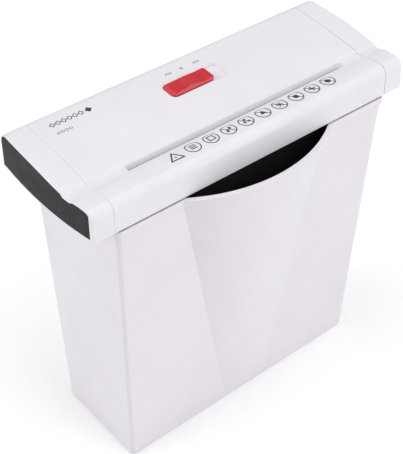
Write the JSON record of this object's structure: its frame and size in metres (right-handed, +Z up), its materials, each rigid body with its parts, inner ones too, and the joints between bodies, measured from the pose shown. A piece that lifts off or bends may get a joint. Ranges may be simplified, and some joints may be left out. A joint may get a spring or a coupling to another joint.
{
  "type": "paper shredder",
  "caption": "Small strip-cut paper shredder: a long lift-off cutting head with a paper slot and a slide switch rests on a tapered waste bin with a bulged front wall.",
  "frame": {"origin": "on the floor, below the middle of the whole object's box", "axes": "+X along the paper slot to the right as the user faces the slot side, +Y to the back, +Z up"},
  "size_m": [0.3184, 0.1466, 0.3066],
  "materials": {
    "white_plastic": "satin white moulded plastic",
    "white_bin_plastic": "fine-grained white moulded plastic",
    "black_plastic": "satin black moulded plastic",
    "red_plastic": "glossy red moulded plastic",
    "nylon": "natural nylon",
    "steel_sheet": "zinc-plated sheet steel",
    "hardened_steel": "oiled hardened steel",
    "bright_steel": "ground steel",
    "bronze": "sintered bronze",
    "copper": "enamelled copper wire",
    "ferrite": "sintered ferrite",
    "board": "paper-phenolic circuit board",
    "relay_blue": "blue relay case",
    "capacitor_sleeve": "sleeved aluminium can",
    "green_plastic": "green terminal block",
    "glass_fuse": "glass tube fuse",
    "rubber_black": "black rubber",
    "carbon": "carbon brush"
  },
  "bodies": {
    "bin": {"waste_bin": "white_bin_plastic"},
    "head": {"top_cover": "white_plastic", "left_end_cap": "white_plastic", "right_end_cap": "white_plastic", "left_end_panel": "black_plastic", "right_end_panel": "black_plastic", "lower_housing": "black_plastic", "cover_screws": "steel_sheet", "plate_screws": "steel_sheet", "left_side_plate": "steel_sheet", "right_side_plate": "steel_sheet", "tie_rods": "steel_sheet", "shaft_bushes": "bronze", "front_stripper_comb": "black_plastic", "rear_stripper_comb": "black_plastic", "idler_pins": "bright_steel", "gear_cover": "steel_sheet", "gear_cover_posts": "steel_sheet", "motor_can": "steel_sheet", "motor_front_bell": "steel_sheet", "motor_rear_bell": "steel_sheet", "motor_magnets": "ferrite", "motor_brushes": "carbon", "motor_screws": "steel_sheet", "circuit_board": "board", "relay": "relay_blue", "capacitor": "capacitor_sleeve", "bridge_rectifier": "black_plastic", "terminal_block": "green_plastic", "fuse_link": "glass_fuse", "slide_switch": "black_plastic", "auto_start_switch": "black_plastic", "interlock_switch": "black_plastic", "lever_spring": "bright_steel", "cord_gland": "rubber_black"},
    "switch_slider": {"slider_button": "red_plastic", "slider_carrier": "black_plastic"},
    "paper_lever": {"paper_lever": "nylon", "lever_pin": "bright_steel"},
    "interlock_plunger": {"interlock_plunger": "nylon", "plunger_spring": "bright_steel"},
    "front_cutter": {"front_shaft": "bright_steel", "front_discs": "hardened_steel", "front_spacers": "nylon", "front_sync_gear": "hardened_steel"},
    "rear_cutter": {"rear_shaft": "bright_steel", "rear_discs": "hardened_steel", "rear_spacers": "nylon", "rear_sync_gear": "hardened_steel", "drive_gear": "nylon"},
    "gear_one": {"compound_gear_one": "nylon"},
    "gear_two": {"compound_gear_two": "nylon"},
    "motor_rotor": {"motor_shaft": "bright_steel", "armature_core": "hardened_steel", "armature_windings": "copper", "commutator": "copper", "motor_pinion": "bronze", "cooling_fan": "black_plastic"}
  },
  "joints": [
    {"name": "head_lift", "type": "slide", "parent": "bin", "child": "head", "axis": [0, 0, 1], "range_m": [0, 0.1]},
    {"name": "switch_slide", "type": "slide", "parent": "head", "child": "switch_slider", "axis": [1, 0, 0], "range_m": [0, 0.011]},
    {"name": "paper_lever_swing", "type": "hinge", "parent": "head", "child": "paper_lever", "pos_m": [0.0061, -0.005, 0.288], "axis": [1, 0, 0], "range_deg": [0, 24], "stiffness_Nm_per_rad": 0.002, "springref_deg": -34.38},
    {"name": "interlock_travel", "type": "slide", "parent": "head", "child": "interlock_plunger", "axis": [0, 0, -1], "range_m": [0, 0.0022], "deforming": ["plunger_spring"]},
    {"name": "motor_spin", "type": "hinge", "parent": "head", "child": "motor_rotor", "pos_m": [0, 0.04067, 0.25506], "axis": [1, 0, 0], "continuous": true},
    {"name": "gear_one_spin", "type": "hinge", "parent": "head", "child": "gear_one", "pos_m": [0, 0.04401, 0.27397], "axis": [1, 0, 0], "continuous": true},
    {"name": "gear_two_spin", "type": "hinge", "parent": "head", "child": "gear_two", "pos_m": [0, 0.02409, 0.25726], "axis": [1, 0, 0], "continuous": true},
    {"name": "rear_cutter_spin", "type": "hinge", "parent": "head", "child": "rear_cutter", "pos_m": [0, -0.0041, 0.247], "axis": [1, 0, 0], "continuous": true},
    {"name": "front_cutter_spin", "type": "hinge", "parent": "head", "child": "front_cutter", "pos_m": [0, -0.0266, 0.247], "axis": [1, 0, 0], "continuous": true}
  ],
  "couplings": [
    {"joint": "gear_one_spin", "follows": "motor_spin", "ratio": -0.26316},
    {"joint": "gear_two_spin", "follows": "motor_spin", "ratio": 0.078947},
    {"joint": "rear_cutter_spin", "follows": "motor_spin", "ratio": -0.026316},
    {"joint": "front_cutter_spin", "follows": "motor_spin", "ratio": 0.026316},
    {"joint": "interlock_travel", "follows": "head_lift", "ratio": 0.022}
  ]
}
